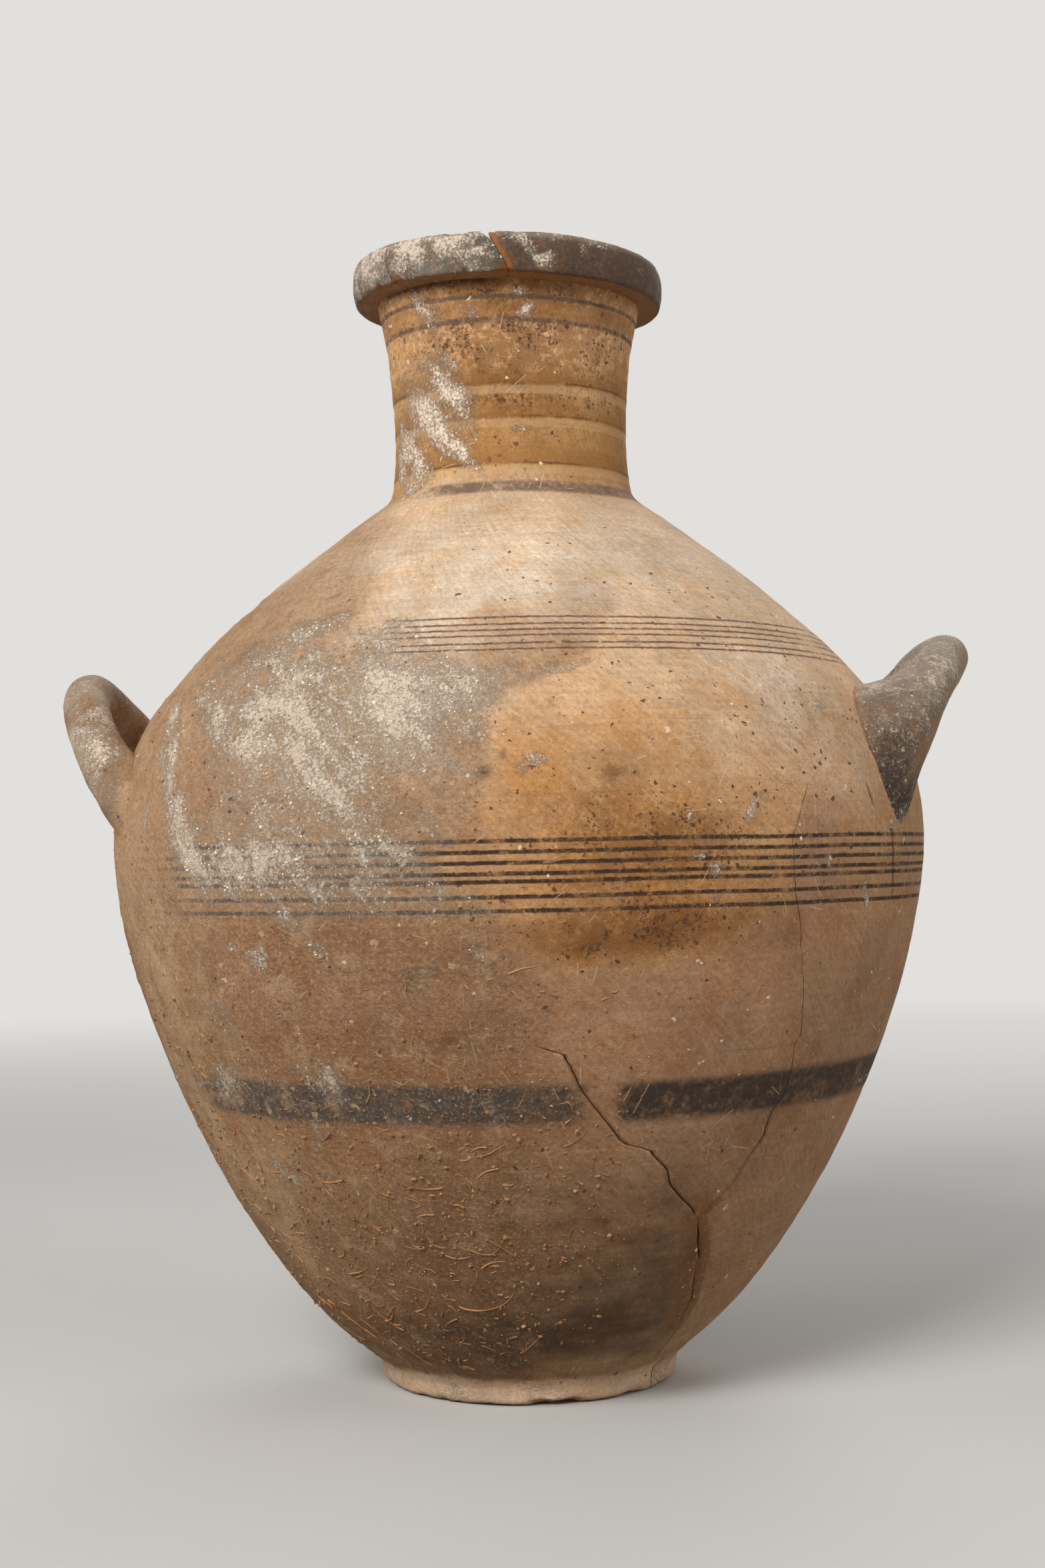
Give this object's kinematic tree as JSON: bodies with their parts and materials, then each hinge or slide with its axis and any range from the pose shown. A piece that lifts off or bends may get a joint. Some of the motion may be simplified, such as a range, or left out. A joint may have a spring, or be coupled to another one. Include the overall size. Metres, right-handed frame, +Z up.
{
  "type": "hydria",
  "caption": "Painted clay water jar: round body on a ring foot, tall neck with a heavy rim, upright loop handles at the sides and a strap handle at the back.",
  "frame": {"origin": "centre of the ring foot, on the surface that the jar stands on", "axes": "+Z up along the jar's axis; +X to the right handle and -X to the left one; +Y to the back handle, so -Y is the front"},
  "size_m": [0.4278, 0.3766, 0.52],
  "materials": {
    "foot_clay": "matte, worn",
    "tan_clay": "matte, worn",
    "pink_clay": "matte, worn",
    "pale_clay": "matte, worn",
    "dark_slip": "matte slip, worn"
  },
  "bodies": {
    "root": {"foot_ring": "foot_clay", "foot_ring_sherd": "foot_clay", "lower_body": "tan_clay", "lower_body_sherd": "pink_clay", "shoulder": "pale_clay", "shoulder_sherd": "pink_clay", "neck": "tan_clay", "rim_main": "dark_slip", "rim_sherd_front": "dark_slip", "rim_sherd_left": "dark_slip", "side_handle_left": "tan_clay", "side_handle_right": "dark_slip", "back_handle": "dark_slip"}
  },
  "joints": []
}
